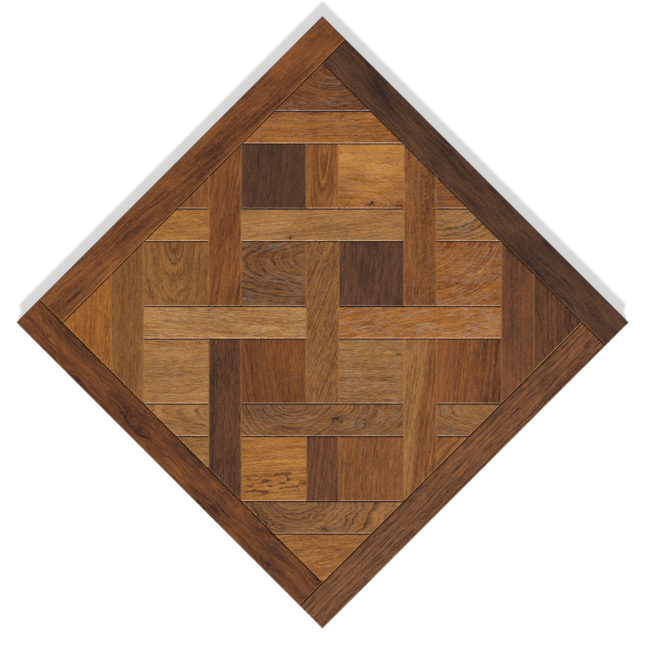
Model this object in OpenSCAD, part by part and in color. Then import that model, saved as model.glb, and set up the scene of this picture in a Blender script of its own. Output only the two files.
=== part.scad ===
// Versailles parquet panel: a square solid-oak floor panel, lying flat.
// Four frame strips in a pinwheel hold a diagonal field of interlaced strips, square blocks
// and triangles. Every joint is a tongue in a groove, and the four outer sides are grooved
// for a loose tongue to the next panel.
// Millimetres. Origin at the middle of the underside, +Z up, the frame along X and Y.
// The field's own axes are u and v, with u towards the south-east corner (+X, -Y) and
// v towards the north-east corner (+X, +Y).

/* [Panel] */
// Width and depth of the square panel
panel_side = 800; // [600:5:1200]
// Thickness of the wood
thickness = 22; // [18:0.5:35]
// Width of the four frame strips
frame_w = 60.6; // [40:0.1:100]
// Width of the strips in the field
strip_w = 60; // [35:0.5:75]
// Bevel round the face of every piece
bevel = 2; // [0.5:0.1:3]

/* [Tongues and grooves] */
// How far a tongue stands out
tongue_l = 6; // [4:0.5:8]
// Thickness of a tongue
tongue_t = 6; // [4:0.5:8]
// Wood above the tongue
face_t = 9; // [7:0.5:14]
// Chamfer on a tongue's nose
nose = 0.8; // [0.3:0.1:1.5]
// Space left beyond a tongue's nose, in its groove
groove_gap = 0.5; // [0.3:0.1:1.5]
// Slack above and below a tongue in its groove
slack = 0.1; // [0.05:0.05:0.3]
// How far the wood below the tongue is set back, so that the faces close first
back_relief = 0.3; // [0.1:0.1:1]
// Depth of the groove round the panel's outer sides
edge_groove_d = 9; // [6:0.5:12]

/* [Output] */
// One node's name, or all

/* [Hidden] */

// Oak tones, from fumed to nearly raw
SMOKED = [0.26, 0.17, 0.13];
WALNUT = [0.35, 0.22, 0.14];
RUSSET = [0.44, 0.24, 0.13];
CHESTNUT = [0.52, 0.31, 0.16];
HAZEL = [0.55, 0.36, 0.20];
AMBER = [0.67, 0.38, 0.16];
TAN = [0.65, 0.44, 0.24];
HONEY = [0.72, 0.49, 0.24];
STRAW = [0.77, 0.55, 0.32];

half_side = panel_side / 2;
field_half = half_side - frame_w;
// The field's half diagonal takes two strips and three blocks, so that the outer blocks'
// corners come exactly to the frame
reach = field_half * sqrt(2);
block_w = (reach - 2 * strip_w) / 3;
pitch = strip_w + block_w;
past = reach + frame_w;

tongue_top = thickness - face_t;
tongue_foot = tongue_top - tongue_t;
groove_d = tongue_l + groove_gap;

assert(block_w > strip_w + 2 * bevel, "strip_w is too wide for this panel_side");
assert(tongue_foot > slack, "the tongue is too low: reduce face_t or tongue_t");
assert(strip_w > 2 * groove_d, "strip_w is too narrow for its two grooves");

// Where the k-th strip from the middle begins and ends
function near(k) = k * pitch - strip_w / 2;
function far(k) = k * pitch + strip_w / 2;
// A range on the positive or the negative side of the middle
function on(side, range) = side > 0 ? range : [-range[1], -range[0]];

// The shape of a planed side, from the underside up, as [distance outwards, height]
function side_shape(kind) =
  kind == "tongue" ? [
    [-back_relief, 0], [-back_relief, tongue_foot],
    [tongue_l - nose, tongue_foot], [tongue_l, tongue_foot + nose],
    [tongue_l, tongue_top - nose], [tongue_l - nose, tongue_top],
    [0, tongue_top], [0, thickness - bevel], [-bevel, thickness]
  ] : kind == "clear" ? [
    [tongue_l, 0], [tongue_l, thickness]
  ] : let (depth = kind == "edge" ? edge_groove_d : groove_d) [
    [-back_relief, 0], [-back_relief, tongue_foot - slack],
    [-depth, tongue_foot - slack], [-depth, tongue_top + slack],
    [0, tongue_top + slack], [0, thickness - bevel], [-bevel, thickness]
  ];

// A long board that runs in Y and is planed on its two X sides
module board(range, kinds) {
  low = side_shape(kinds[0]);
  high = side_shape(kinds[1]);
  rotate([90, 0, 0])
    linear_extrude(height = 2 * panel_side, center = true)
      polygon(concat(
        [for (p = high) [range[1] + p[0], p[1]]],
        [for (i = [len(low) - 1:-1:0]) [range[0] - low[i][0], low[i][1]]]
      ));
}

module cross_board(range, kinds) {
  rotate([0, 0, 90]) board(range, kinds);
}

// One piece of the field, from its ranges in u and v and the kinds of its sides
module field_piece(u, v, u_kind, v_kind) {
  rotate([0, 0, -45]) intersection() {
    board(u, [u_kind, u_kind]);
    cross_board(v, [v_kind, v_kind]);
  }
}

// Trims pieces of the field along the frame
module trim_to_frame(kind = "tongue") {
  intersection() {
    children();
    board([-field_half, field_half], [kind, kind]);
    cross_board([-field_half, field_half], [kind, kind]);
  }
}

module warp_strip(u, v) {
  field_piece(u, v, "groove", "tongue");
}

module weft_strip(u, v) {
  field_piece(u, v, "tongue", "groove");
}

module block(u, v) {
  field_piece(u, v, "tongue", "tongue");
}

// The east strip, turned a quarter for each of the others. Its south end runs through to the
// panel's side, and its north end stands against the north strip.
module frame_strip(quarter) {
  rotate([0, 0, 90 * quarter]) intersection() {
    board([field_half, half_side], ["groove", "edge"]);
    cross_board([-half_side, field_half], ["edge", "tongue"]);
  }
}

// A node's solid in its tone, if it is asked for
module part(name, tone) {
  color(tone) children();
}

part("frame_strip_east", SMOKED) frame_strip(0);
part("frame_strip_north", RUSSET) frame_strip(1);
part("frame_strip_west", RUSSET) frame_strip(2);
part("frame_strip_south", WALNUT) frame_strip(3);

part("warp_centre", HAZEL) warp_strip([near(0), far(0)], [-near(1), near(1)]);
part("warp_short_ne", CHESTNUT) warp_strip([near(0), far(0)], [far(1), near(2)]);
part("warp_short_sw", WALNUT) warp_strip([near(0), far(0)], on(-1, [far(1), near(2)]));

// The strips at one pitch from the middle, from the inner weft to the frame
for (s = [
  ["warp_side_east", CHESTNUT, 1, 1], ["warp_side_south", HONEY, 1, -1],
  ["warp_side_west", SMOKED, -1, -1], ["warp_side_north", RUSSET, -1, 1]
])
  part(s[0], s[1]) trim_to_frame()
    warp_strip(on(s[2], [near(1), far(1)]), on(s[3], [far(0), past]));

for (s = [["warp_corner_se", RUSSET, 1], ["warp_corner_nw", HAZEL, -1]])
  part(s[0], s[1]) trim_to_frame()
    warp_strip(on(s[2], [near(2), far(2)]), [-past, past]);

for (s = [["weft_inner_se", AMBER, 1], ["weft_inner_nw", STRAW, -1]])
  part(s[0], s[1]) weft_strip(on(s[2], [far(0), near(2)]), [near(0), far(0)]);

for (s = [["weft_mid_ne", TAN, 1], ["weft_mid_sw", HAZEL, -1]])
  part(s[0], s[1]) weft_strip([-near(1), near(1)], on(s[2], [near(1), far(1)]));

for (s = [
  ["weft_end_east", TAN, 1, 1], ["weft_end_south", HAZEL, 1, -1],
  ["weft_end_west", TAN, -1, -1], ["weft_end_north", HONEY, -1, 1]
])
  part(s[0], s[1]) trim_to_frame()
    weft_strip(on(s[2], [far(1), past]), on(s[3], [near(1), far(1)]));

for (s = [["weft_corner_ne", AMBER, 1], ["weft_corner_sw", HAZEL, -1]])
  part(s[0], s[1]) trim_to_frame()
    weft_strip([-past, past], on(s[2], [near(2), far(2)]));

for (b = [
  ["centre_block_east", SMOKED, 1, 1], ["centre_block_south", TAN, 1, -1],
  ["centre_block_west", RUSSET, -1, -1], ["centre_block_north", WALNUT, -1, 1]
])
  part(b[0], b[1]) block(on(b[2], [far(0), near(1)]), on(b[3], [far(0), near(1)]));

// The outer blocks touch the frame with one corner, where only their tongues are trimmed
for (b = [
  ["se_block_east", CHESTNUT, 1, 1], ["se_block_south", RUSSET, 1, -1],
  ["nw_block_west", STRAW, -1, -1], ["nw_block_north", HAZEL, -1, 1]
])
  part(b[0], b[1]) trim_to_frame("clear")
    block(on(b[2], [far(1), near(2)]), on(b[3], [far(0), near(1)]));

for (b = [
  ["ne_block_east", HONEY, 1, 1], ["ne_block_north", SMOKED, -1, 1],
  ["sw_block_south", CHESTNUT, 1, -1], ["sw_block_west", HONEY, -1, -1]
])
  part(b[0], b[1]) trim_to_frame("clear")
    block(on(b[2], [far(0), near(1)]), on(b[3], [far(1), near(2)]));

for (t = [["corner_triangle_ne", CHESTNUT, 1], ["corner_triangle_sw", HONEY, -1]])
  part(t[0], t[1]) trim_to_frame() block([-past, past], on(t[2], [far(2), past]));

for (t = [["corner_triangle_se", WALNUT, 1], ["corner_triangle_nw", AMBER, -1]])
  part(t[0], t[1]) trim_to_frame() block(on(t[2], [far(2), past]), [-past, past]);

for (t = [
  ["side_triangle_east", RUSSET, 1, 1], ["side_triangle_south", RUSSET, 1, -1],
  ["side_triangle_west", TAN, -1, -1], ["side_triangle_north", CHESTNUT, -1, 1]
])
  part(t[0], t[1]) trim_to_frame()
    block(on(t[2], [far(1), past]), on(t[3], [far(1), past]));
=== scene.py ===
"""The looks of an oak parquet panel: its boards' grain and finish, the stage and the camera."""

import math
from typing import NamedTuple

import bpy
from bpy.props import FloatProperty, FloatVectorProperty, PointerProperty
from bpy.types import Operator, Panel, PropertyGroup
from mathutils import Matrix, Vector


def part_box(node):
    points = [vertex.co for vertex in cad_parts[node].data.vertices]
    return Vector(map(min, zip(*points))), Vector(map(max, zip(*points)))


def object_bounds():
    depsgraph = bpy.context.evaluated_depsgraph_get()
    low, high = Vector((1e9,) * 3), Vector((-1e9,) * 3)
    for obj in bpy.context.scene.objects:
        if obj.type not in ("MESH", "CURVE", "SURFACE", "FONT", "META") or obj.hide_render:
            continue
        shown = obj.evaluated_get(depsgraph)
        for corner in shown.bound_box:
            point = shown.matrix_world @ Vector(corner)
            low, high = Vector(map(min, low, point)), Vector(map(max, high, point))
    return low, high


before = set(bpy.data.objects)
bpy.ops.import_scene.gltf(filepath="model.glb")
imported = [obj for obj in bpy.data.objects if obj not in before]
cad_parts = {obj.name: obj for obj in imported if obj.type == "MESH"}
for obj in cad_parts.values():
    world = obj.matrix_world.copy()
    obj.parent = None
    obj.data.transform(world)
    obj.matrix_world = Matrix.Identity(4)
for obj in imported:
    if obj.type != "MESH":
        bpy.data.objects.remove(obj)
CAD_LOW, CAD_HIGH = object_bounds()

bl_info = {
    "name": "Oak Parquet Panel",
    "version": (1, 0, 0),
    "blender": (4, 5, 0),
    "location": "View3D > Sidebar > Parquet",
    "description": "Finishes an oak parquet panel's boards and sets its stage",
    "category": "Object",
}

MM = 0.001
GROUP_NAME = "Oak board"
PANEL_THICKNESS = (CAD_HIGH.z - CAD_LOW.z) / MM

# Directions of the grain, in degrees from +X: along the panel's sides, and along the field's
# level (u) and upright (v) strips
GRAIN = {"x": 0, "y": 90, "u": -45, "v": 45}
FIELD_LEVEL = (math.cos(math.radians(GRAIN["u"])), math.sin(math.radians(GRAIN["u"])), 0)


def linear(*rgb):
    """A colour written as 0 to 255 on screen, as Blender's linear values, by the sRGB curve."""
    return tuple(((c / 255 + 0.055) / 1.055) ** 2.4 if c > 10 else c / 255 / 12.92 for c in rgb)


def colour(name, description, *rgb):
    return FloatVectorProperty(
        name=name, description=description, subtype="COLOR", size=3, min=0, max=1,
        default=linear(*rgb),
    )


def length(name, description, default_mm):
    return FloatProperty(
        name=name, description=description, subtype="DISTANCE", unit="LENGTH", min=0,
        default=default_mm * MM,
    )


def distance(name, description, default_m):
    return FloatProperty(
        name=name, description=description, subtype="DISTANCE", unit="LENGTH", min=0,
        default=default_m,
    )


def angle(name, description, degrees):
    return FloatProperty(
        name=name, description=description, subtype="ANGLE", unit="ROTATION",
        default=math.radians(degrees),
    )


def factor(name, description, default):
    return FloatProperty(
        name=name, description=description, subtype="FACTOR", min=0, max=1, default=default,
    )


class OakTones(PropertyGroup):
    """Each tone's late wood and early wood, on the face."""

    smoked: colour("Smoked", "Fumed oak, late wood", 100, 64, 42)
    smoked_dark: colour("Smoked, dark", "Fumed oak, early wood", 50, 28, 15)
    umber: colour("Umber", "Dull dark oak, late wood", 130, 80, 48)
    umber_dark: colour("Umber, dark", "Dull dark oak, early wood", 64, 35, 20)
    walnut: colour("Walnut", "Dark brown oak, late wood", 129, 80, 45)
    walnut_dark: colour("Walnut, dark", "Dark brown oak, early wood", 66, 34, 20)
    russet: colour("Russet", "Red-brown oak, late wood", 136, 80, 38)
    russet_dark: colour("Russet, dark", "Red-brown oak, early wood", 76, 37, 14)
    chestnut: colour("Chestnut", "Mid red-brown oak, late wood", 150, 94, 46)
    chestnut_dark: colour("Chestnut, dark", "Mid red-brown oak, early wood", 90, 46, 17)
    hazel: colour("Hazel", "Mid brown oak, late wood", 154, 103, 53)
    hazel_dark: colour("Hazel, dark", "Mid brown oak, early wood", 92, 52, 22)
    amber: colour("Amber", "Orange-brown oak, late wood", 176, 112, 48)
    amber_dark: colour("Amber, dark", "Orange-brown oak, early wood", 114, 58, 15)
    tan: colour("Tan", "Light brown oak, late wood", 174, 122, 66)
    tan_dark: colour("Tan, dark", "Light brown oak, early wood", 112, 68, 28)
    honey: colour("Honey", "Golden oak, late wood", 187, 127, 59)
    honey_dark: colour("Honey, dark", "Golden oak, early wood", 127, 71, 26)
    straw: colour("Straw", "Pale golden oak, late wood", 188, 136, 76)
    straw_dark: colour("Straw, dark", "Pale golden oak, early wood", 127, 77, 31)
    raw: colour("Raw oak", "Unfinished oak, late wood", 172, 138, 98)
    raw_dark: colour("Raw oak, dark", "Unfinished oak, early wood", 128, 96, 62)
    pore: colour("Pores", "Open pores, which hold dirt and stain", 44, 26, 18)
    lime: colour("Lime", "Pale wax left in the coarse pores", 172, 158, 146)
    # Pale grey on the level joints' bevels: wax and wear, and a painted sheen where the lamp
    # catches them
    worn_and_sheen: colour("Worn edge", "Wax and wear on the level joints' bevels", 206, 192, 182)
    # Pale gold on the frame's and the upright joints' bevels: unfinished wood, and painted light
    # on the upright joints, which the lamp lights along their length
    rubbed_and_lit: colour("Rubbed edge", "Bare wood on the other joints' bevels", 212, 162, 104)
    # Near black at the joints' foot: grime, and painted shade in the groove
    dirt_and_shade: colour("Dirt", "Dirt in the bottom of the joints", 18, 11, 8)
    knot: colour("Knot", "Heart of a knot", 42, 22, 13)


class OakGrain(PropertyGroup):
    """What all the boards' grain and edges share."""

    bevel: length("Bevel", "Height of the bevel round each board's face", 2.0)
    # The darkened foot of the joints is grime and painted shade
    dirt_and_shade_height: length("Dirt height", "How far the dirt reaches up the bevels", 0.8)
    pore_depth: length("Pore depth", "How deep the pores lie under the face", 0.27)
    ring_depth: length("Ring depth", "How far the early wood is brushed out", 0.22)
    # The wear colour on the level bevels carries a painted sheen too
    worn_and_sheen_share: factor("Edge wear", "How much of a bevel's colour is wear", 0.17)
    # These make the bevels paler and gold: partly rubbing to unfinished wood, partly painted
    # light, most on the upright joints, which the lamp lights along their length
    rubbed_and_lit_across: factor("Rub across", "How much paler the bevels on level joints are", 0.1)
    rubbed_and_lit_along: factor("Rub along", "How much paler the bevels on upright joints are", 0.3)
    bare_and_lit_share: factor("Bare edge", "How much of an upright joint's bevel is bare wood", 0.22)
    roughness: factor("Roughness", "Roughness of the oiled face", 0.5)
    gloss: factor("Gloss", "How much the oiled face reflects", 0.2)


class ParquetStage(PropertyGroup):
    """The light, the camera and the floor."""

    sky: factor("Sky", "Light from all round, as a share of the whole", 0.1)
    lamp_height: angle("Lamp height", "The lamp's height over the floor", 28)
    lamp_side: angle("Lamp side", "Where the lamp stands, round from the panel's east", -135)
    lamp_width: angle("Lamp width", "How wide the lamp looks from the panel", 16)
    camera_height: distance("Camera height", "From the panel's face to the camera", 3.2)
    picture_width: distance("Picture width", "What the picture spans at the panel", 1.19)
    camera_turn: angle("Camera turn", "Brings the north-east corner to the top", -45)
    floor: colour("Floor", "The floor and backdrop", 236, 236, 236)
    floor_glow: factor("Floor glow", "White added where the floor is seen, and not as light", 0.6)


class Tree:
    """Short calls for adding nodes to a node tree. An input is a socket or a plain value."""

    # The nodes are laid out in rows, for the node editor
    COLUMNS = 12
    SPACING = (180, 260)
    # A Mix node's sockets for colours, which share their names with those for values
    MIX_A = 6
    MIX_B = 7
    MIX_RESULT = 2

    def __init__(self, tree):
        self.tree = tree
        self.count = 0

    def add(self, kind, inputs=(), **settings):
        node = self.tree.nodes.new(("" if kind.startswith("NodeGroup") else "ShaderNode") + kind)
        row, column = divmod(self.count, self.COLUMNS)
        node.location = column * self.SPACING[0], -row * self.SPACING[1]
        self.count += 1
        for key, value in settings.items():
            setattr(node, key, value)
        pairs = inputs.items() if isinstance(inputs, dict) else enumerate(inputs)
        for key, value in pairs:
            self.connect(node.inputs[key], value)
        return node

    def connect(self, socket, value):
        if isinstance(value, bpy.types.NodeSocket):
            self.tree.links.new(value, socket)
        else:
            socket.default_value = value

    def math(self, operation, *inputs):
        return self.add("Math", inputs, operation=operation).outputs[0]

    def vector(self, operation, *inputs):
        node = self.add("VectorMath", inputs, operation=operation)
        return node.outputs["Value" if operation in {"LENGTH", "DOT_PRODUCT"} else "Vector"]

    def scaled(self, vector, scale):
        return self.add("VectorMath", {0: vector, "Scale": scale}, operation="SCALE").outputs[0]

    def product(self, first, *others):
        for value in others:
            first = self.math("MULTIPLY", first, value)
        return first

    def between(self, value, start, end):
        """start where value is 0, end where it is 1."""
        return self.math("MULTIPLY_ADD", value, end - start, start)

    def step(self, value, low, high):
        """0 below low, 1 above high, smooth between. With low above high it falls."""
        node = self.add("MapRange", [value, low, high], interpolation_type="SMOOTHSTEP")
        return node.outputs[0]

    def ramp(self, value, *stops):
        """A value that passes through (position, level) stops."""
        node = self.add("ValToRGB", [value])
        band = node.color_ramp
        band.interpolation = "EASE"
        ready = list(band.elements)
        for i, (position, level) in enumerate(stops):
            element = ready[i] if i < len(ready) else band.elements.new(position)
            element.position = position
            element.color = (level, level, level, 1)
        return node.outputs[0]

    def mix(self, share, a, b, clamp=True):
        """a where share is 0, b where it is 1. Colours are sockets or three values."""
        node = self.add("Mix", [share], data_type="RGBA", clamp_factor=clamp)
        for place, value in ((self.MIX_A, a), (self.MIX_B, b)):
            is_socket = isinstance(value, bpy.types.NodeSocket)
            self.connect(node.inputs[place], value if is_socket else (*value, 1))
        return node.outputs[self.MIX_RESULT]


class Layer(NamedTuple):
    """A noise in the grain. Its marks are about size long along, across and down, in mm."""

    size: tuple
    shift: tuple = (0, 0, 0)  # sets its pattern apart from the other layers'
    detail: float = 2
    rough: float = 0.55
    low: float = 0  # the noise where a mark begins
    high: float = 1  # the noise where a mark is full
    dark: float = 0  # how much a mark darkens the wood
    deep: float = 0  # how deep a mark lies, as a share of the pores' depth


# The level that a noise varies round
NOISE_MIDDLE = 0.5

# The fibres wander slowly over the board's length, and a little at a shorter length
SLOW_WANDER = Layer((170, 60, 60), detail=1, rough=0.5)
QUICK_WANDER = Layer((45, 16, 16), detail=1, rough=0.5)
QUICK_SHARE = 0.35

# The early wood over one year, from the ring's start, how strong it is in a weak year and in a
# strong one, and the level that it varies round
YEAR = ((0, 0.05), (0.07, 1), (0.26, 0.6), (0.45, 0.12), (0.9, 0), (1, 0.05))
YEAR_STRENGTH = (0.4, 1.3)
EARLY_MIDDLE = 0.35
# The rings' gaps change about every three years, and shift the rings by up to this many years
UNEVEN_RATE = 0.33
UNEVEN_YEARS = 2.6
# Near the pith some boards are plain: where the figure begins, in mm, and what is left of it
PLAIN_EDGE = (-5.0, 1.0)
PLAIN_FIGURE = 0.15

# Streaks follow the rings, dashes, glints and threads the fibres, and patches are broad
LONG_STREAK = Layer((190, 5, 16), low=0.36, high=0.64, dark=0.3)
STREAK = Layer((38, 1.9, 7), (3, 1, 4), low=0.4, high=0.6, dark=0.32)
DASH = Layer((16, 1.2, 2.5), (1, 5, 9), 1.5, low=0.42, high=0.58, dark=0.4, deep=0.4)
GLINT = Layer((14, 1.3, 2.5), (9, 2, 3), 1.5, low=0.5, high=0.62, dark=-0.5)
THREAD = Layer((2.8, 1.7, 2), (6, 3, 3), 1, 0.6, dark=1.45, deep=0.3)
PATCH = Layer((110, 40, 60), rough=0.5)
# The levels that the glints, and the dashes and glints together, vary round
GLINT_MIDDLE = 0.35
SHORT_MIDDLE = 0.2
SHORT_STRENGTH = 0.8
# How far, in mm, from a board's middle it is darker by the whole of its value
FADE_LENGTH = 100
PALEST = -0.4
DARKEST = 1.5

# Pores, and the lime in them: each with what late wood and early wood get of it
FINE_PORE = Layer((5, 0.7, 0.8), low=0.54, high=0.64, deep=0.5)
FINE_PORE_SHARES = (0.4, 1)
COARSE_PORE = Layer((13, 1.9, 3), (7, 7, 2), low=0.5, high=0.58, deep=2)
COARSE_PORE_SHARES = (0.15, 1)
LIME = Layer((15, 1.8, 4), (2, 8, 6), low=0.5, high=0.58, deep=0.5)
LIME_SHARES = (0.25, 1.05)
LIMED_PLACE = Layer((60, 20, 30), (5, 5, 5), low=0.38, high=0.6)

# A stripe of another tone: how far its edge wavers and blurs, in mm, and how much it darkens
STRIPE_WAVER = 7.0
STRIPE_BLUR = 4.0
STRIPE_DARK = 0.8

# Ray flecks are short pale ribbons that lean across the grain
RAY_FLECK = Layer((17, 3.4, 9), low=0.55, high=0.62)
RAY_LEAN = math.radians(62)
RAY_SHARE = 0.5

# A knot is longer along the grain, and runs down through the board
KNOT_SHAPE = (0.6, 1.0, 0.15)
# It pushes the rings aside, by less and less with the distance
KNOT_PUSH = 1.6
KNOT_FALL = 0.55
# Its ragged heart and the dark wood round it, from full to none, in knots' sizes
HEART_EDGE = (0.5, 0.85)
HEART_RAGGED = Layer((6, 5, 6), (6, 6, 1), 1, 0.5)
HEART_RAGGED_BY = 3.2
HEART_DEEP = 1
HALO_EDGE = (0.5, 3.0)
HALO_SHARE = 0.4

# Burrs are small dark islands and fine lines, in a band from full to none, in mm
BURR_BAND = (12.0, 26.0)
BURR = Layer((20, 10, 9), (4, 2, 8), 1, 0.5, low=0.575, high=0.6)
BURR_LINE = Layer((60, 26, 9), (8, 8, 3), 1, 0.5)
BURR_LINE_EDGE = (0.006, 0.012)
BURR_LINE_SHARE = 0.8

# How far a bevel's normal points along the level strips: 0 on a level joint, 0.5 on the
# frame's and 0.7 on an upright one
SLANTED_FROM = (0.2, 0.4)
UPRIGHT_FROM = (0.55, 0.65)
# Depths in mm, from none to full: of the wear under the face, of the grime and painted shade
# under its height and of the raw wood under the bevel, whose edge wavers
FACE_EDGE = (0.05, 0.3)
DIRT_AND_SHADE_EDGE = (-0.2, 0.1)
RAW_EDGE = (0.6, 2.2)
RAW_WAVER = 1.2
RAW_PORES = 0.6
# How much of a joint's foot is grime and painted shade, and how much less of it there is on the
# paler joints, the upright and the frame's ones, where less shade falls
DIRT_AND_SHADE_SHARE = 0.95
LESS_SHADE_UPRIGHT = 0.65
LESS_SHADE_SLANTED = 0.25

# What each adds to the roughness
ROUGH_PORES = 0.2
ROUGH_STREAKS = 0.06
ROUGH_RAYS = -0.08
ROUGH_RAW = 0.3


class OakGroup(Tree):
    """The node group that all the boards share. Its coordinates are a board's own, in mm, with
    the grain along X and Z up from the underside."""

    def __init__(self, tones, grain):
        super().__init__(bpy.data.node_groups.new(GROUP_NAME, "ShaderNodeTree"))
        self.tones = tones
        self.grain = grain
        self.add_sockets()
        self.given = self.add("NodeGroupInput").outputs
        self.board = self.given["Board"]
        self.height = self.add("SeparateXYZ", [self.board]).outputs[2]
        self.lay_fibres()
        self.knot_far = self.far_from_knot()
        radius = self.ring_radius()
        self.early = self.early_wood(radius)
        self.rings = self.add("CombineXYZ", [self.along, radius, self.height]).outputs[0]
        self.scatter_marks()
        self.scatter_pores()
        self.set_darkness()
        self.find_bevels()
        wood = self.face_wood()
        wood = self.add_rays(wood)
        wood = self.add_knot(wood)
        wood = self.add_burrs(wood)
        wood = self.wear_bevels(wood)
        wood = self.add_raw_wood(wood)
        self.add("NodeGroupOutput", {
            "Color": wood, "Roughness": self.roughness(), "Height": self.relief()})

    def add_sockets(self):
        face = self.tree.interface
        vectors = dict.fromkeys(("Board", "Seed"), "NodeSocketVector")
        colours = dict.fromkeys(("Late wood", "Early wood", "Stripe"), "NodeSocketColor")
        for name, kind in (vectors | colours).items():
            face.new_socket(name, in_out="INPUT", socket_type=kind)
        for name, usual in BOARD_INPUTS.values():
            socket = face.new_socket(name, in_out="INPUT", socket_type="NodeSocketFloat")
            socket.default_value = usual
        face.new_socket("Color", in_out="OUTPUT", socket_type="NodeSocketColor")
        for name in ("Roughness", "Height"):
            face.new_socket(name, in_out="OUTPUT", socket_type="NodeSocketFloat")

    def noise(self, place, layer):
        """A layer's noise, as (value, colour)."""
        start = self.vector("ADD", self.given["Seed"], layer.shift)
        at = self.vector("MULTIPLY_ADD", place, [1 / s for s in layer.size], start)
        node = self.add("TexNoise", {"Vector": at, "Scale": 1, "Detail": layer.detail,
                                     "Roughness": layer.rough})
        return node.outputs["Fac"], node.outputs["Color"]

    def marks(self, place, layer):
        """0 between a layer's marks, 1 on them."""
        return self.step(self.noise(place, layer)[0], layer.low, layer.high)

    def about(self, value, share, rest, middle=NOISE_MIDDLE):
        """rest, and share of how far value is from its middle."""
        return self.math("MULTIPLY_ADD", self.math("SUBTRACT", value, middle), share, rest)

    def lay_fibres(self):
        """Where each point lies along, across and down the wandering fibres."""
        slow = self.noise(self.board, SLOW_WANDER)[1]
        quick = self.noise(self.board, QUICK_WANDER)[1]
        wander = self.vector("MULTIPLY_ADD", quick, (QUICK_SHARE,) * 3, slow)
        wander = self.vector("SUBTRACT", wander, (NOISE_MIDDLE * (1 + QUICK_SHARE),) * 3)
        sideways_only = (0, 1, 1)
        wander = self.vector("MULTIPLY", wander, sideways_only)
        fibre = self.vector("ADD", self.board, self.scaled(wander, self.given["Wander"]))
        self.along, self.across, self.down = self.add("SeparateXYZ", [fibre]).outputs
        self.fibres = self.add("CombineXYZ", [self.along, self.across, self.height]).outputs[0]

    def far_from_knot(self):
        """How far off the knot is, in its own sizes."""
        given = self.given
        knot = self.add("CombineXYZ", [
            given["Knot along"], given["Knot across"], PANEL_THICKNESS]).outputs[0]
        away = self.vector("MULTIPLY", self.vector("SUBTRACT", self.board, knot), KNOT_SHAPE)
        return self.math("DIVIDE", self.vector("LENGTH", away), given["Knot size"])

    def ring_radius(self):
        """The radius of the tree's ring that passes through each point. The pith lies off the
        board, and it rises and bows along it. A knot pushes the rings aside."""
        given = self.given
        rise = self.product(self.along, given["Rise"])
        bow = self.product(self.along, self.along, given["Bow"])
        dy = self.math("SUBTRACT", self.across, given["Pith across"])
        dz = self.math("SUBTRACT", self.math("SUBTRACT", self.down, given["Pith depth"]),
                       self.math("ADD", rise, bow))
        radius = self.vector("LENGTH", self.add("CombineXYZ", [0, dy, dz]).outputs[0])
        push = self.math("EXPONENT", self.product(self.knot_far, -KNOT_FALL))
        push = self.product(push, given["Knot size"], given["Knot"])
        return self.math("MULTIPLY_ADD", push, KNOT_PUSH, radius)

    def early_wood(self, radius):
        """How strong the early wood is, ring by ring."""
        turns = self.math("DIVIDE", radius, self.given["Ring gap"])
        uneven = self.add("TexNoise", {
            "W": self.product(turns, UNEVEN_RATE), "Scale": 1, "Detail": 1},
            noise_dimensions="1D").outputs["Fac"]
        turns = self.math("MULTIPLY_ADD", uneven, UNEVEN_YEARS, turns)
        year = self.add("TexWhiteNoise", {"W": self.math("FLOOR", turns)},
                        noise_dimensions="1D").outputs["Value"]
        early = self.ramp(self.math("FRACT", turns), *YEAR)
        from_plain = self.math("SUBTRACT", radius, self.given["Plain heart"])
        figured = self.step(from_plain, *PLAIN_EDGE)
        return self.product(early, self.between(year, *YEAR_STRENGTH),
                            self.between(figured, PLAIN_FIGURE, 1))

    def scatter_marks(self):
        """The streaks, dashes, glints, threads and patches of darker and paler wood."""
        self.long_streak = self.marks(self.rings, LONG_STREAK)
        self.streak = self.marks(self.rings, STREAK)
        self.dash = self.marks(self.fibres, DASH)
        self.glint = self.marks(self.fibres, GLINT)
        self.thread = self.noise(self.fibres, THREAD)[0]
        self.patch = self.noise(self.board, PATCH)[0]

    def scatter_pores(self):
        """Pores and the lime in them, most of them in the early wood."""
        given = self.given
        self.pore = self.product(
            self.marks(self.fibres, FINE_PORE), self.between(self.early, *FINE_PORE_SHARES),
            given["Pores"])
        self.coarse = self.product(
            self.marks(self.rings, COARSE_PORE), self.between(self.early, *COARSE_PORE_SHARES),
            given["Coarse pores"])
        self.limed = self.product(
            self.marks(self.rings, LIME), self.marks(self.board, LIMED_PLACE),
            self.between(self.early, *LIME_SHARES), given["Lime"])

    def set_darkness(self):
        """How dark the wood is: 0 is its late wood's colour and 1 its early wood's, and it
        goes somewhat past both."""
        given = self.given
        dark = self.product(self.math("SUBTRACT", self.early, EARLY_MIDDLE), given["Rings"])
        dark = self.about(self.long_streak, LONG_STREAK.dark, dark)
        dark = self.about(self.streak, STREAK.dark, dark)
        dark = self.product(dark, given["Contrast"])
        short = self.product(self.dash, DASH.dark)
        short = self.about(self.glint, GLINT.dark, short, GLINT_MIDDLE)
        strength = self.product(given["Marks"], SHORT_STRENGTH)
        dark = self.about(short, strength, dark, SHORT_MIDDLE)
        dark = self.about(self.thread, THREAD.dark, dark)
        dark = self.about(self.patch, given["Patches"], dark)
        for way, name in ((self.along, "Darker along"), (self.across, "Darker across")):
            way = self.product(way, 1 / FADE_LENGTH)
            dark = self.math("MULTIPLY_ADD", way, given[name], dark)
        dark = self.math("ADD", dark, given["Shade"])
        self.dark = self.add("Clamp", [dark, PALEST, DARKEST]).outputs[0]

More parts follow.
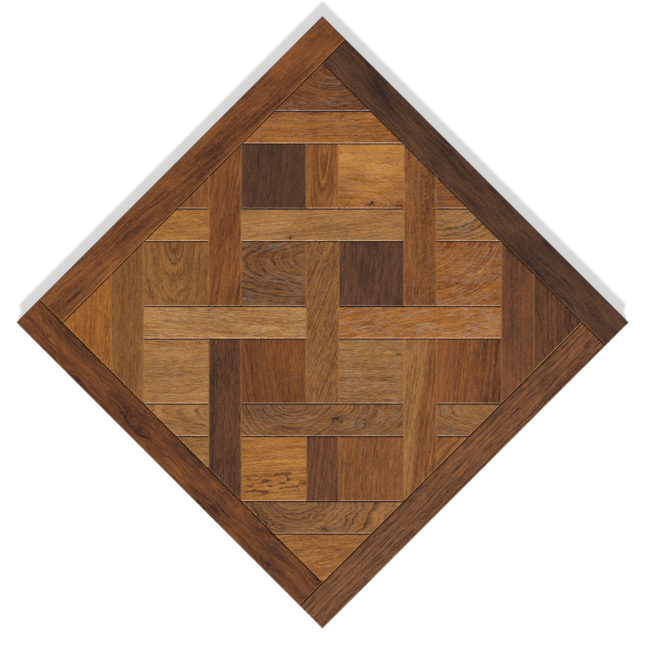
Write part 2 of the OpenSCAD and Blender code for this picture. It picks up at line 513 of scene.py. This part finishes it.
    def face_wood(self):
        """The wood's colour, with its stripe, its pores and the lime in them."""
        given = self.given
        tones = self.tones
        edge = self.math("SUBTRACT", self.across, given["Stripe edge"])
        edge = self.about(self.long_streak, STRIPE_WAVER, edge)
        in_stripe = self.step(edge, -STRIPE_BLUR, STRIPE_BLUR)
        wood = self.mix(self.dark, given["Late wood"], given["Early wood"], clamp=False)
        stripe = self.mix(self.product(self.dark, STRIPE_DARK), given["Stripe"],
                          given["Early wood"])
        wood = self.mix(self.product(in_stripe, given["Stripe share"]), wood, stripe)
        wood = self.mix(self.pore, wood, tones.pore)
        wood = self.mix(self.coarse, wood, tones.pore)
        return self.mix(self.limed, wood, tones.lime)

    def add_rays(self, wood):
        """Ray flecks, in the late wood's colour."""
        leaning = self.add("VectorRotate", {"Vector": self.fibres, "Angle": RAY_LEAN},
                           rotation_type="Z_AXIS").outputs[0]
        self.ray = self.product(self.marks(leaning, RAY_FLECK), self.given["Flecks"])
        return self.mix(self.product(self.ray, RAY_SHARE), wood, self.given["Late wood"])

    def add_knot(self, wood):
        """The knot's heart and the dark wood round it."""
        knot = self.given["Knot"]
        ragged = self.noise(self.board, HEART_RAGGED)[0]
        ragged = self.about(ragged, HEART_RAGGED_BY, self.knot_far)
        self.heart = self.product(self.step(ragged, *reversed(HEART_EDGE)), knot)
        halo = self.product(self.step(self.knot_far, *reversed(HALO_EDGE)), knot)
        wood = self.mix(self.product(halo, HALO_SHARE), wood, self.given["Early wood"])
        return self.mix(self.heart, wood, self.tones.knot)

    def add_burrs(self, wood):
        """A band of small dark islands and lines along the grain."""
        off_middle = self.math("SUBTRACT", self.across, self.given["Burrs across"])
        band = self.step(self.math("ABSOLUTE", off_middle), *reversed(BURR_BAND))
        line = self.noise(self.board, BURR_LINE)[0]
        line = self.math("ABSOLUTE", self.math("SUBTRACT", line, NOISE_MIDDLE))
        line = self.product(self.step(line, *reversed(BURR_LINE_EDGE)), BURR_LINE_SHARE)
        burr = self.math("MAXIMUM", self.marks(self.board, BURR), line)
        burr = self.product(burr, band, self.given["Burrs"])
        return self.mix(burr, wood, self.tones.russet_dark)

    def find_bevels(self):
        """Where the sides are, and which of them are on slanted and on upright joints."""
        normal = self.add("NewGeometry").outputs["True Normal"]
        sideways = self.math("ABSOLUTE", self.vector("DOT_PRODUCT", normal, FIELD_LEVEL))
        self.slanted = self.step(sideways, *SLANTED_FROM)
        self.upright = self.step(sideways, *UPRIGHT_FROM)
        full_depth = PANEL_THICKNESS - FACE_EDGE[1]
        self.off_face = self.step(self.height, PANEL_THICKNESS - FACE_EDGE[0], full_depth)

    def wear_bevels(self, wood):
        """The bevels carry wax and wear, with a painted sheen on the level joints, and grime and
        painted shade lie at their foot. On the frame's joints and the upright ones they show
        unfinished wood and are paler, partly by painted light where the lamp shines along the
        upright ones, with less painted shade."""
        grain = self.grain
        tones = self.tones
        # Wax, wear and a painted sheen: grey on the level bevels, gold on the frame's
        worn_and_sheen = self.product(
            self.off_face, self.between(self.upright, grain.worn_and_sheen_share, 0), self.given["Wear"])
        # Painted light: the bevels get paler, and the upright ones gold, most where the lamp
        # shines along the upright joints
        bare = self.product(self.off_face, self.upright, grain.bare_and_lit_share)
        paler = self.between(self.upright, grain.rubbed_and_lit_across, grain.rubbed_and_lit_along)
        wood = self.scaled(wood, self.math("MULTIPLY_ADD", self.off_face, paler, 1))
        wood = self.mix(worn_and_sheen, wood, self.mix(self.slanted, tones.worn_and_sheen, tones.rubbed_and_lit))
        wood = self.mix(bare, wood, tones.rubbed_and_lit)

        # The joints' foot is darkened by grime and painted shade, less on the upright and the
        # frame's joints
        dirt_and_shade_top = PANEL_THICKNESS - (grain.bevel - grain.dirt_and_shade_height) / MM
        dirt_and_shade = self.step(self.height, dirt_and_shade_top - DIRT_AND_SHADE_EDGE[0], dirt_and_shade_top - DIRT_AND_SHADE_EDGE[1])
        less_shade = self.math("MULTIPLY_ADD", self.upright, LESS_SHADE_UPRIGHT,
                          self.product(self.slanted, LESS_SHADE_SLANTED))
        dirt_and_shade = self.product(dirt_and_shade, self.math("SUBTRACT", DIRT_AND_SHADE_SHARE, less_shade))
        return self.mix(dirt_and_shade, wood, tones.dirt_and_shade)

    def add_raw_wood(self, wood):
        """Below the bevels the wood is raw, with a stained edge that wavers."""
        tones = self.tones
        bevel_foot = PANEL_THICKNESS - self.grain.bevel / MM
        seep = self.about(self.streak, RAW_WAVER, self.height)
        self.raw = self.step(seep, bevel_foot - RAW_EDGE[0], bevel_foot - RAW_EDGE[1])
        raw_wood = self.mix(self.dark, tones.raw, tones.raw_dark)
        raw_wood = self.mix(self.product(self.pore, RAW_PORES), raw_wood, tones.pore)
        return self.mix(self.raw, wood, raw_wood)

    def roughness(self):
        rough = self.math("MULTIPLY_ADD", self.pore, ROUGH_PORES, self.grain.roughness)
        rough = self.about(self.streak, ROUGH_STREAKS, rough)
        rough = self.math("MULTIPLY_ADD", self.ray, ROUGH_RAYS, rough)
        return self.math("MULTIPLY_ADD", self.raw, ROUGH_RAW, rough)

    def relief(self):
        """How high the surface stands over the CAD face, in metres."""
        depth = self.grain.pore_depth
        rings = self.product(self.early, self.given["Rings"])
        dashes = self.product(self.dash, self.given["Marks"])
        height = self.product(self.pore, -FINE_PORE.deep * depth)
        for mark, deep in ((self.coarse, COARSE_PORE.deep * depth),
                           (self.limed, LIME.deep * depth),
                           (rings, self.grain.ring_depth),
                           (dashes, DASH.deep * depth),
                           (self.heart, HEART_DEEP * depth),
                           (self.thread, THREAD.deep * depth)):
            height = self.math("MULTIPLY_ADD", mark, -deep, height)
        return height


# What each board may set of its own: the group's socket for it, and its usual value. Lengths
# are in mm, in the board's own frame.
BOARD_INPUTS = {
    "gap": ("Ring gap", 3.4),
    "pith_y": ("Pith across", 30.0),
    "pith_z": ("Pith depth", -60.0),
    "rise": ("Rise", 0.06),
    "bow": ("Bow", 0.0),
    "plain": ("Plain heart", 0.0),
    "wander": ("Wander", 12.0),
    "darker_x": ("Darker along", 0.0),
    "darker_y": ("Darker across", 0.0),
    "contrast": ("Contrast", 0.8),
    "marks": ("Marks", 0.8),
    "rings": ("Rings", 0.35),
    "patches": ("Patches", 0.8),
    "shade": ("Shade", 0.45),
    "pores": ("Pores", 0.6),
    "coarse": ("Coarse pores", 0.35),
    "lime": ("Lime", 0.0),
    "flecks": ("Flecks", 0.0),
    "knot": ("Knot", 0.0),
    "knot_x": ("Knot along", 0.0),
    "knot_y": ("Knot across", 0.0),
    "knot_size": ("Knot size", 8.0),
    "burrs": ("Burrs", 0.0),
    "burrs_y": ("Burrs across", 0.0),
    "stripe": ("Stripe share", 0.0),
    "stripe_at": ("Stripe edge", 0.0),
    # How much wax, wear and painted sheen the board's bevels get
    "wear": ("Wear", 1.0),
}

# Two ways that a board can be cut from the log: with straight lines, or a wide cathedral figure
STRAIGHT = dict(pith_y=160, pith_z=-20, rise=0.02, rings=0.25, gap=3.2)
WIDE = dict(pith_y=6, pith_z=-30, rise=0.12, rings=0.5, gap=3.0)

# Each board's tone, the way its grain runs, and what is its own in the grain. slope turns the
# grain by some degrees, and stripe_tone is the tone past stripe_at.
FRAME_STRIPS = {
    "frame_strip_east": dict(
        STRAIGHT, tone="smoked", grain="y", shade=0.7, contrast=1.2, marks=0.3, patches=1.6,
        wander=24, pith_y=60, rings=0.4, knot=0.8, knot_x=90, knot_y=18, knot_size=4,
        wear=0.25),
    "frame_strip_north": dict(
        STRAIGHT, tone="russet", grain="x", slope=-3, contrast=1.1, marks=0.7, patches=1.8,
        wander=16, rings=0.4, shade=0.42, wear=0.8),
    "frame_strip_west": dict(
        STRAIGHT, tone="russet", grain="y", shade=0.74, contrast=1.4, marks=0.7, patches=1.8,
        wander=36, wear=0.8),
    "frame_strip_south": dict(
        STRAIGHT, tone="walnut", grain="x", shade=0.36, contrast=2.2, marks=1.2, wander=16,
        pores=0.9, coarse=0.5, rings=0.6, gap=2.6, wear=0.5),
}
WARP_STRIPS = {
    "warp_centre": dict(
        STRAIGHT, tone="hazel", grain="v", slope=-20, contrast=1.0, marks=1.2, lime=0.15, gap=5,
        rings=0.4),
    "warp_short_ne": dict(
        tone="chestnut", grain="v", slope=-3, pith_y=0, pith_z=12, rise=0.15, gap=6,
        rings=-0.9, contrast=1.3, marks=0.5, patches=1.4, shade=0.0),
    "warp_short_sw": dict(
        STRAIGHT, tone="walnut", grain="v", slope=-6, contrast=1.2, shade=0.6, wear=0.5),
    "warp_side_east": dict(
        STRAIGHT, tone="chestnut", grain="v", contrast=0.75, lime=0.3, flecks=0.8, shade=0.5,
        patches=1.4, darker_y=-0.2),
    "warp_side_south": dict(
        STRAIGHT, tone="chestnut", grain="v", slope=-7, contrast=1.2, stripe=0.9,
        stripe_tone="tan", stripe_at=-12, shade=0.4, darker_y=-0.2, lime=0.15),
    "warp_side_west": dict(
        STRAIGHT, tone="umber", grain="v", contrast=0.8, marks=0.8, shade=0.82),
    "warp_side_north": dict(
        STRAIGHT, tone="russet", grain="v", slope=-8, contrast=1.5, shade=0.3, patches=1.2),
    "warp_corner_se": dict(
        STRAIGHT, tone="umber", grain="v", contrast=0.7, marks=0.4, shade=0.4, patches=1.4),
    "warp_corner_nw": dict(STRAIGHT, tone="hazel", grain="v"),
}
WEFT_STRIPS = {
    "weft_inner_se": dict(
        STRAIGHT, tone="amber", grain="u", slope=11, shade=0.3, lime=0.8, contrast=1.1),
    "weft_inner_nw": dict(
        STRAIGHT, tone="straw", grain="u", slope=-3, lime=0.6, contrast=1.1, shade=0.36),
    "weft_mid_ne": dict(
        STRAIGHT, tone="tan", grain="u", slope=6, shade=0.31, contrast=1.0, marks=0.75,
        patches=1.2, lime=0.2, darker_y=-0.15, darker_x=-0.04, knot=1.0, knot_x=-62,
        knot_y=-17, knot_size=3),
    "weft_mid_sw": dict(
        tone="hazel", grain="u", pith_y=32, pith_z=56, rise=0.55, bow=-0.0008, gap=4.6,
        rings=0.45, wander=18, contrast=0.9, lime=0.35, coarse=0.4, knot=1.0, knot_x=25,
        knot_y=2, knot_size=5, shade=0.55, darker_x=-0.05),
    "weft_end_east": dict(
        tone="tan", grain="u", pith_y=50, pith_z=-4, rise=-0.5, gap=8, plain=38, rings=0.55,
        contrast=0.9, lime=0.55, coarse=0.4, shade=0.57),
    "weft_end_south": dict(
        tone="hazel", grain="u", pith_y=8, pith_z=2, rise=0.28, gap=3.6, rings=0.5,
        contrast=0.7, marks=0.6, lime=0.35, shade=0.38),
    "weft_end_west": dict(WIDE, tone="tan", grain="u", lime=0.3),
    "weft_end_north": dict(STRAIGHT, tone="honey", grain="u", lime=0.2),
    "weft_corner_ne": dict(
        STRAIGHT, tone="amber", grain="u", slope=3, lime=0.35, contrast=1.0, knot=0.7, knot_x=39,
        knot_y=46, knot_size=2.2),
    "weft_corner_sw": dict(
        tone="hazel", grain="u", pith_y=20, pith_z=58, rise=0.66, bow=-0.001, gap=6, rings=0.8,
        wander=34, contrast=0.85, marks=0.9, lime=0.15, coarse=0.2, knot=0.9, knot_x=3,
        knot_y=-46, knot_size=3, shade=0.46, patches=1.2, darker_x=-0.15),
}
BLOCKS = {
    "centre_block_east": dict(
        STRAIGHT, tone="smoked", grain="v", slope=-5, contrast=1.1, marks=1.0, patches=1.8,
        shade=0.38, wear=0.4),
    "centre_block_south": dict(
        STRAIGHT, tone="tan", grain="u", lime=0.5, contrast=0.9, marks=0.7, shade=0.48,
        darker_y=-0.18, knot=0.6, knot_x=50, knot_y=32, knot_size=2.4),
    "centre_block_west": dict(
        STRAIGHT, tone="russet", grain="v", slope=8, contrast=1.0, darker_y=0.1),
    "centre_block_north": dict(
        tone="hazel", grain="u", pith_y=25, pith_z=-10, rise=0.3, gap=6, plain=35, rings=0.55,
        contrast=0.8, marks=0.7, lime=0.4, coarse=0.9, shade=0.72),
    "se_block_east": dict(
        tone="amber", grain="u", pith_y=90, pith_z=-50, rise=-0.8, gap=4, rings=0.4,
        contrast=1.0, lime=0.6, coarse=0.3, shade=0.6, darker_x=0.15),
    "se_block_south": dict(
        STRAIGHT, tone="russet", grain="v", slope=-6, contrast=1.2, shade=0.42, darker_y=-0.8,
        patches=1.2, lime=0.15),
    "nw_block_west": dict(STRAIGHT, tone="straw", grain="u", lime=0.3),
    "nw_block_north": dict(WIDE, tone="hazel", grain="v"),
    "ne_block_east": dict(
        STRAIGHT, tone="honey", grain="u", slope=-2, shade=0.47, contrast=0.9, marks=0.45,
        patches=2.6, pores=0.3, coarse=0.1, lime=0.4, darker_y=-1.0, wander=30, knot=1.0,
        knot_x=3, knot_y=-50, knot_size=5),
    "ne_block_north": dict(
        STRAIGHT, tone="smoked", grain="v", slope=-8, shade=0.6, contrast=0.8, wear=0.4),
    "sw_block_south": dict(
        STRAIGHT, tone="chestnut", grain="v", slope=-5, contrast=0.9, shade=0.4, lime=0.1),
    "sw_block_west": dict(
        STRAIGHT, tone="honey", grain="u", slope=4, contrast=0.95, marks=0.6, pores=0.4,
        coarse=0.2, burrs=0.9, burrs_y=-28, shade=0.48, darker_x=-0.15),
}
TRIANGLES = {
    "corner_triangle_ne": dict(
        tone="chestnut", grain="u", pith_y=82, pith_z=10, rise=0.55, gap=6, rings=0.4,
        lime=0.38, coarse=0.2, shade=0.74, contrast=0.8, marks=0.7),
    "corner_triangle_se": dict(
        STRAIGHT, tone="umber", grain="v", contrast=0.85, marks=0.8, shade=0.72, rings=0.4,
        gap=2.6, wear=2.5),
    "corner_triangle_sw": dict(
        STRAIGHT, tone="honey", grain="u", slope=8, contrast=0.9, shade=0.65, patches=1.3),
    "corner_triangle_nw": dict(STRAIGHT, tone="amber", grain="v"),
    "side_triangle_east": dict(STRAIGHT, tone="chestnut", grain="u", shade=0.52, contrast=1.0),
    "side_triangle_south": dict(
        STRAIGHT, tone="chestnut", grain="v", slope=-40, shade=0.36, contrast=2.8),
    "side_triangle_west": dict(STRAIGHT, tone="tan", grain="u"),
    "side_triangle_north": dict(STRAIGHT, tone="chestnut", grain="v"),
}
ALL_BOARDS = {**FRAME_STRIPS, **WARP_STRIPS, **WEFT_STRIPS, **BLOCKS, **TRIANGLES}

# How far one board lies from the next in the noises, along, across and down
SEED_STEP = (17.3, 5.9, 11.7)


def new_material(name):
    """A material with an empty node tree."""
    material = bpy.data.materials.new(name)
    material.use_nodes = True
    material.node_tree.nodes.clear()
    return material


def shared_group(scene):
    """The oak that all the boards share, made for the first of them."""
    group = bpy.data.node_groups.get(GROUP_NAME)
    return group or OakGroup(scene.oak_tones, scene.oak_grain).tree


def own_inputs(name, board, tones):
    """What a board sets on the oak group, apart from its place."""
    tone = board["tone"]
    number = list(ALL_BOARDS).index(name) + 1
    inputs = {
        "Late wood": (*getattr(tones, tone), 1),
        "Early wood": (*getattr(tones, tone + "_dark"), 1),
        "Stripe": (*getattr(tones, board.get("stripe_tone", tone)), 1),
        "Seed": [number * step for step in SEED_STEP],
    }
    for key, (socket, usual) in BOARD_INPUTS.items():
        inputs[socket] = board.get(key, usual)
    return inputs


def finish_boards(scene, boards):
    """Gives each board its own oak."""
    group = shared_group(scene)
    for name, board in boards.items():
        low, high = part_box(name)
        middle = (low + high) / 2
        material = new_material("Oak, " + name.replace("_", " "))
        t = Tree(material.node_tree)
        turn = math.radians(GRAIN[board["grain"]] + board.get("slope", 0))
        place = t.add("Mapping", {
            "Vector": t.add("TexCoord").outputs["Object"], "Location": (middle.x, middle.y, 0),
            "Rotation": (0, 0, turn), "Scale": (MM, MM, MM)}, vector_type="TEXTURE").outputs[0]
        inputs = {"Board": place, **own_inputs(name, board, scene.oak_tones)}
        oak = t.add("Group", inputs, node_tree=group).outputs
        bump = t.add("Bump", {"Strength": 1, "Distance": 1, "Height": oak["Height"]})
        shader = t.add("BsdfPrincipled", {
            "Base Color": oak["Color"], "Roughness": oak["Roughness"],
            "Normal": bump.outputs[0], "Specular IOR Level": scene.oak_grain.gloss})
        t.add("OutputMaterial", [shader.outputs[0]])
        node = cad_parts[name]
        node.data.materials.clear()
        node.data.materials.append(material)


class FinishFrameStrips(Operator):
    """Finish the four frame strips"""

    bl_idname = "parquet.finish_frame_strips"
    bl_label = "Frame Strips"

    def execute(self, context):
        finish_boards(context.scene, FRAME_STRIPS)
        return {"FINISHED"}


class FinishWarpStrips(Operator):
    """Finish the field's upright strips"""

    bl_idname = "parquet.finish_warp_strips"
    bl_label = "Upright Strips"

    def execute(self, context):
        finish_boards(context.scene, WARP_STRIPS)
        return {"FINISHED"}


class FinishWeftStrips(Operator):
    """Finish the field's level strips"""

    bl_idname = "parquet.finish_weft_strips"
    bl_label = "Level Strips"

    def execute(self, context):
        finish_boards(context.scene, WEFT_STRIPS)
        return {"FINISHED"}


class FinishBlocks(Operator):
    """Finish the square blocks"""

    bl_idname = "parquet.finish_blocks"
    bl_label = "Blocks"

    def execute(self, context):
        finish_boards(context.scene, BLOCKS)
        return {"FINISHED"}


class FinishTriangles(Operator):
    """Finish the corner and side triangles"""

    bl_idname = "parquet.finish_triangles"
    bl_label = "Triangles"

    def execute(self, context):
        finish_boards(context.scene, TRIANGLES)
        return {"FINISHED"}


# The stage's places, in metres: the floor lies a hair under the panel and reaches out of every
# view, and the lamp stands clear of the panel
FLOOR_GAP = 0.0002
FLOOR_REACH = 30
LAMP_FAR = 2
VIEW_REACH = 100
SENSOR_WIDTH_MM = 36
WHITE = (1, 1, 1, 1)


class BuildStage(Operator):
    """Set the floor, the light and the camera"""

    bl_idname = "parquet.build_stage"
    bl_label = "Stage"

    def execute(self, context):
        scene = context.scene
        stage = scene.parquet_stage
        scene.view_settings.view_transform = "Standard"
        self.make_floor(scene, stage)
        self.make_world(scene, stage)
        self.make_lamp(scene, stage)
        self.make_camera(scene, stage)
        return {"FINISHED"}

    @staticmethod
    def seen(t):
        """1 for what the camera sees straight, in a reflection or through glass."""
        path = t.add("LightPath").outputs
        rays = t.math("MAXIMUM", path["Is Camera Ray"], path["Is Glossy Ray"])
        return t.math("MAXIMUM", rays, path["Is Transmission Ray"])

    def make_floor(self, scene, stage):
        mesh = bpy.data.meshes.new("floor")
        low, high = -FLOOR_REACH, FLOOR_REACH
        corners = [(low, low, 0), (high, low, 0), (high, high, 0), (low, high, 0)]
        mesh.from_pydata(corners, [], [(0, 1, 2, 3)])
        floor = bpy.data.objects.new("floor", mesh)
        floor.location.z = CAD_LOW.z - FLOOR_GAP
        scene.collection.objects.link(floor)
        material = new_material("White floor")
        t = Tree(material.node_tree)
        plain = t.add("BsdfDiffuse", {"Color": (*stage.floor, 1)})
        strength = t.math("MULTIPLY", self.seen(t), stage.floor_glow)
        glow = t.add("Emission", {"Color": WHITE, "Strength": strength})
        both = t.add("AddShader", [plain.outputs[0], glow.outputs[0]])
        t.add("OutputMaterial", [both.outputs[0]])
        mesh.materials.append(material)

    def make_world(self, scene, stage):
        world = bpy.data.worlds.new("White room")
        scene.world = world
        world.use_nodes = True
        world.node_tree.nodes.clear()
        t = Tree(world.node_tree)
        strength = t.between(self.seen(t), stage.sky, 1)
        sky = t.add("Background", {"Color": WHITE, "Strength": strength})
        t.add("OutputWorld", [sky.outputs[0]])

    def make_lamp(self, scene, stage):
        lamp = bpy.data.lights.new("lamp", "SUN")
        # The face then gets the rest of the light, so that a colour shows as it is written
        lamp.energy = math.pi * (1 - stage.sky) / math.sin(stage.lamp_height)
        lamp.angle = stage.lamp_width
        place = bpy.data.objects.new("lamp", lamp)
        towards = Vector((math.cos(stage.lamp_side) * math.cos(stage.lamp_height),
                          math.sin(stage.lamp_side) * math.cos(stage.lamp_height),
                          math.sin(stage.lamp_height)))
        place.rotation_euler = towards.to_track_quat("Z", "Y").to_euler()
        place.location = towards * LAMP_FAR
        scene.collection.objects.link(place)

    def make_camera(self, scene, stage):
        data = bpy.data.cameras.new("camera")
        camera = bpy.data.objects.new("camera", data)
        scene.collection.objects.link(camera)
        data.sensor_width = SENSOR_WIDTH_MM
        data.lens = data.sensor_width * stage.camera_height / stage.picture_width
        data.clip_end = VIEW_REACH
        camera.location = (0, 0, CAD_HIGH.z + stage.camera_height)
        # It looks straight down
        camera.rotation_euler = (0, 0, stage.camera_turn)
        scene.camera = camera


class PARQUET_PT_panel(Panel):
    """Lists the operators, and the sizes and colours that they read"""

    bl_label = "Oak Parquet Panel"
    bl_space_type = "VIEW_3D"
    bl_region_type = "UI"
    bl_category = "Parquet"

    def draw(self, context):
        scene = context.scene
        for operator in OPERATORS:
            self.layout.operator(operator.bl_idname)
        for group in (scene.oak_tones, scene.oak_grain, scene.parquet_stage):
            box = self.layout.box()
            for name in group.bl_rna.properties.keys():
                if name not in {"rna_type", "name"}:
                    box.prop(group, name)


OPERATORS = (FinishFrameStrips, FinishWarpStrips, FinishWeftStrips, FinishBlocks,
             FinishTriangles, BuildStage)
CLASSES = (OakTones, OakGrain, ParquetStage, *OPERATORS, PARQUET_PT_panel)


def register():
    for cls in CLASSES:
        bpy.utils.register_class(cls)
    bpy.types.Scene.oak_tones = PointerProperty(type=OakTones)
    bpy.types.Scene.oak_grain = PointerProperty(type=OakGrain)
    bpy.types.Scene.parquet_stage = PointerProperty(type=ParquetStage)


def unregister():
    del bpy.types.Scene.parquet_stage
    del bpy.types.Scene.oak_grain
    del bpy.types.Scene.oak_tones
    for cls in reversed(CLASSES):
        bpy.utils.unregister_class(cls)


def main():
    register()
    for operator in OPERATORS:
        area, name = operator.bl_idname.split(".")
        getattr(getattr(bpy.ops, area), name)()


if __name__ == "__main__":
    main()
